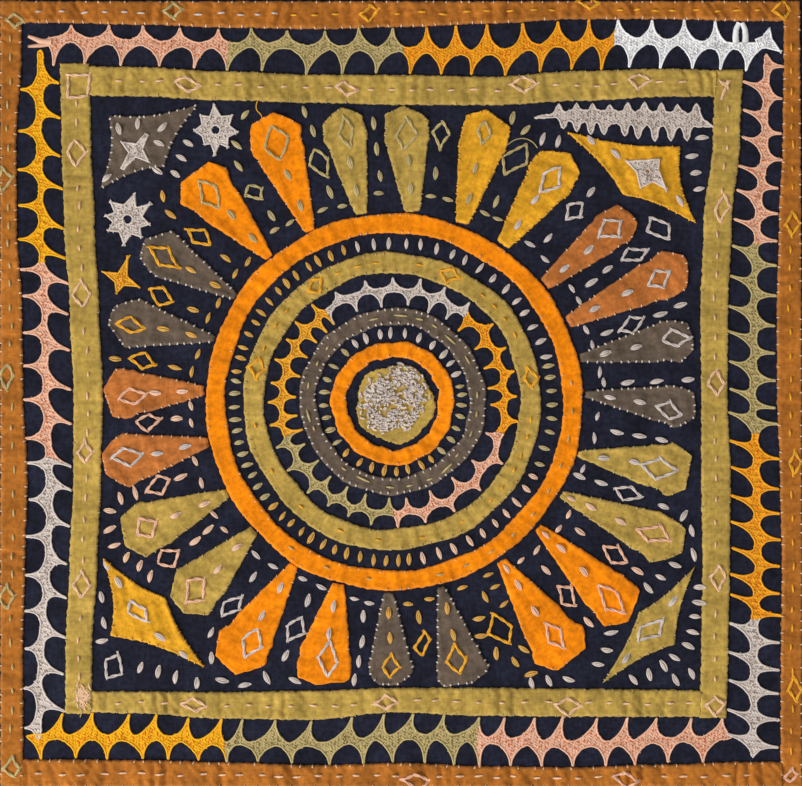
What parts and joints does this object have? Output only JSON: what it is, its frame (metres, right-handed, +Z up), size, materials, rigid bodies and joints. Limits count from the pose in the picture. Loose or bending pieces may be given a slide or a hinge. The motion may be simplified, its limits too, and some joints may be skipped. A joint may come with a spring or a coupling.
{
  "type": "embroidered textile panel",
  "caption": "Square flat cotton panel with applied cloth strips, rings, rays and lozenges, hand embroidered in folk style.",
  "frame": {"origin": "bottom centre of the bounding box: on the surface that the panel lies on, under its middle", "axes": "+Z up, out of the embroidered face; +Y towards the panel's top as it is looked at; +X to its right"},
  "size_m": [0.45, 0.45, 0.0035],
  "materials": {
    "navy_cotton": "plain-weave cotton, dark navy",
    "rust_cotton": "plain-weave cotton, rust brown",
    "olive_cotton": "plain-weave cotton, olive",
    "orange_cotton": "plain-weave cotton, orange",
    "gold_cotton": "plain-weave cotton, gold",
    "taupe_cotton": "plain-weave cotton, taupe grey",
    "pale_rust_cotton": "plain-weave cotton, pale rust"
  },
  "bodies": {
    "root": {"ground_cloth": "navy_cotton", "border_left": "rust_cotton", "border_right": "rust_cotton", "border_bottom": "rust_cotton", "border_top": "rust_cotton", "frame_left": "olive_cotton", "frame_right": "olive_cotton", "frame_bottom": "olive_cotton", "frame_top": "olive_cotton", "ring_outer": "orange_cotton", "ring_second": "olive_cotton", "ring_third": "taupe_cotton", "ring_inner": "orange_cotton", "centre_disc": "olive_cotton", "ray_01": "olive_cotton", "ray_02": "olive_cotton", "ray_03": "gold_cotton", "ray_04": "gold_cotton", "ray_05": "pale_rust_cotton", "ray_06": "pale_rust_cotton", "ray_07": "taupe_cotton", "ray_08": "taupe_cotton", "ray_09": "olive_cotton", "ray_10": "olive_cotton", "ray_11": "orange_cotton", "ray_12": "orange_cotton", "ray_13": "taupe_cotton", "ray_14": "taupe_cotton", "ray_15": "orange_cotton", "ray_16": "orange_cotton", "ray_17": "olive_cotton", "ray_18": "olive_cotton", "ray_19": "pale_rust_cotton", "ray_20": "pale_rust_cotton", "ray_21": "taupe_cotton", "ray_22": "taupe_cotton", "ray_23": "orange_cotton", "ray_24": "orange_cotton", "lozenge_top_left": "taupe_cotton", "lozenge_top_right": "gold_cotton", "lozenge_bottom_left": "gold_cotton", "lozenge_bottom_right": "olive_cotton"}
  },
  "joints": []
}
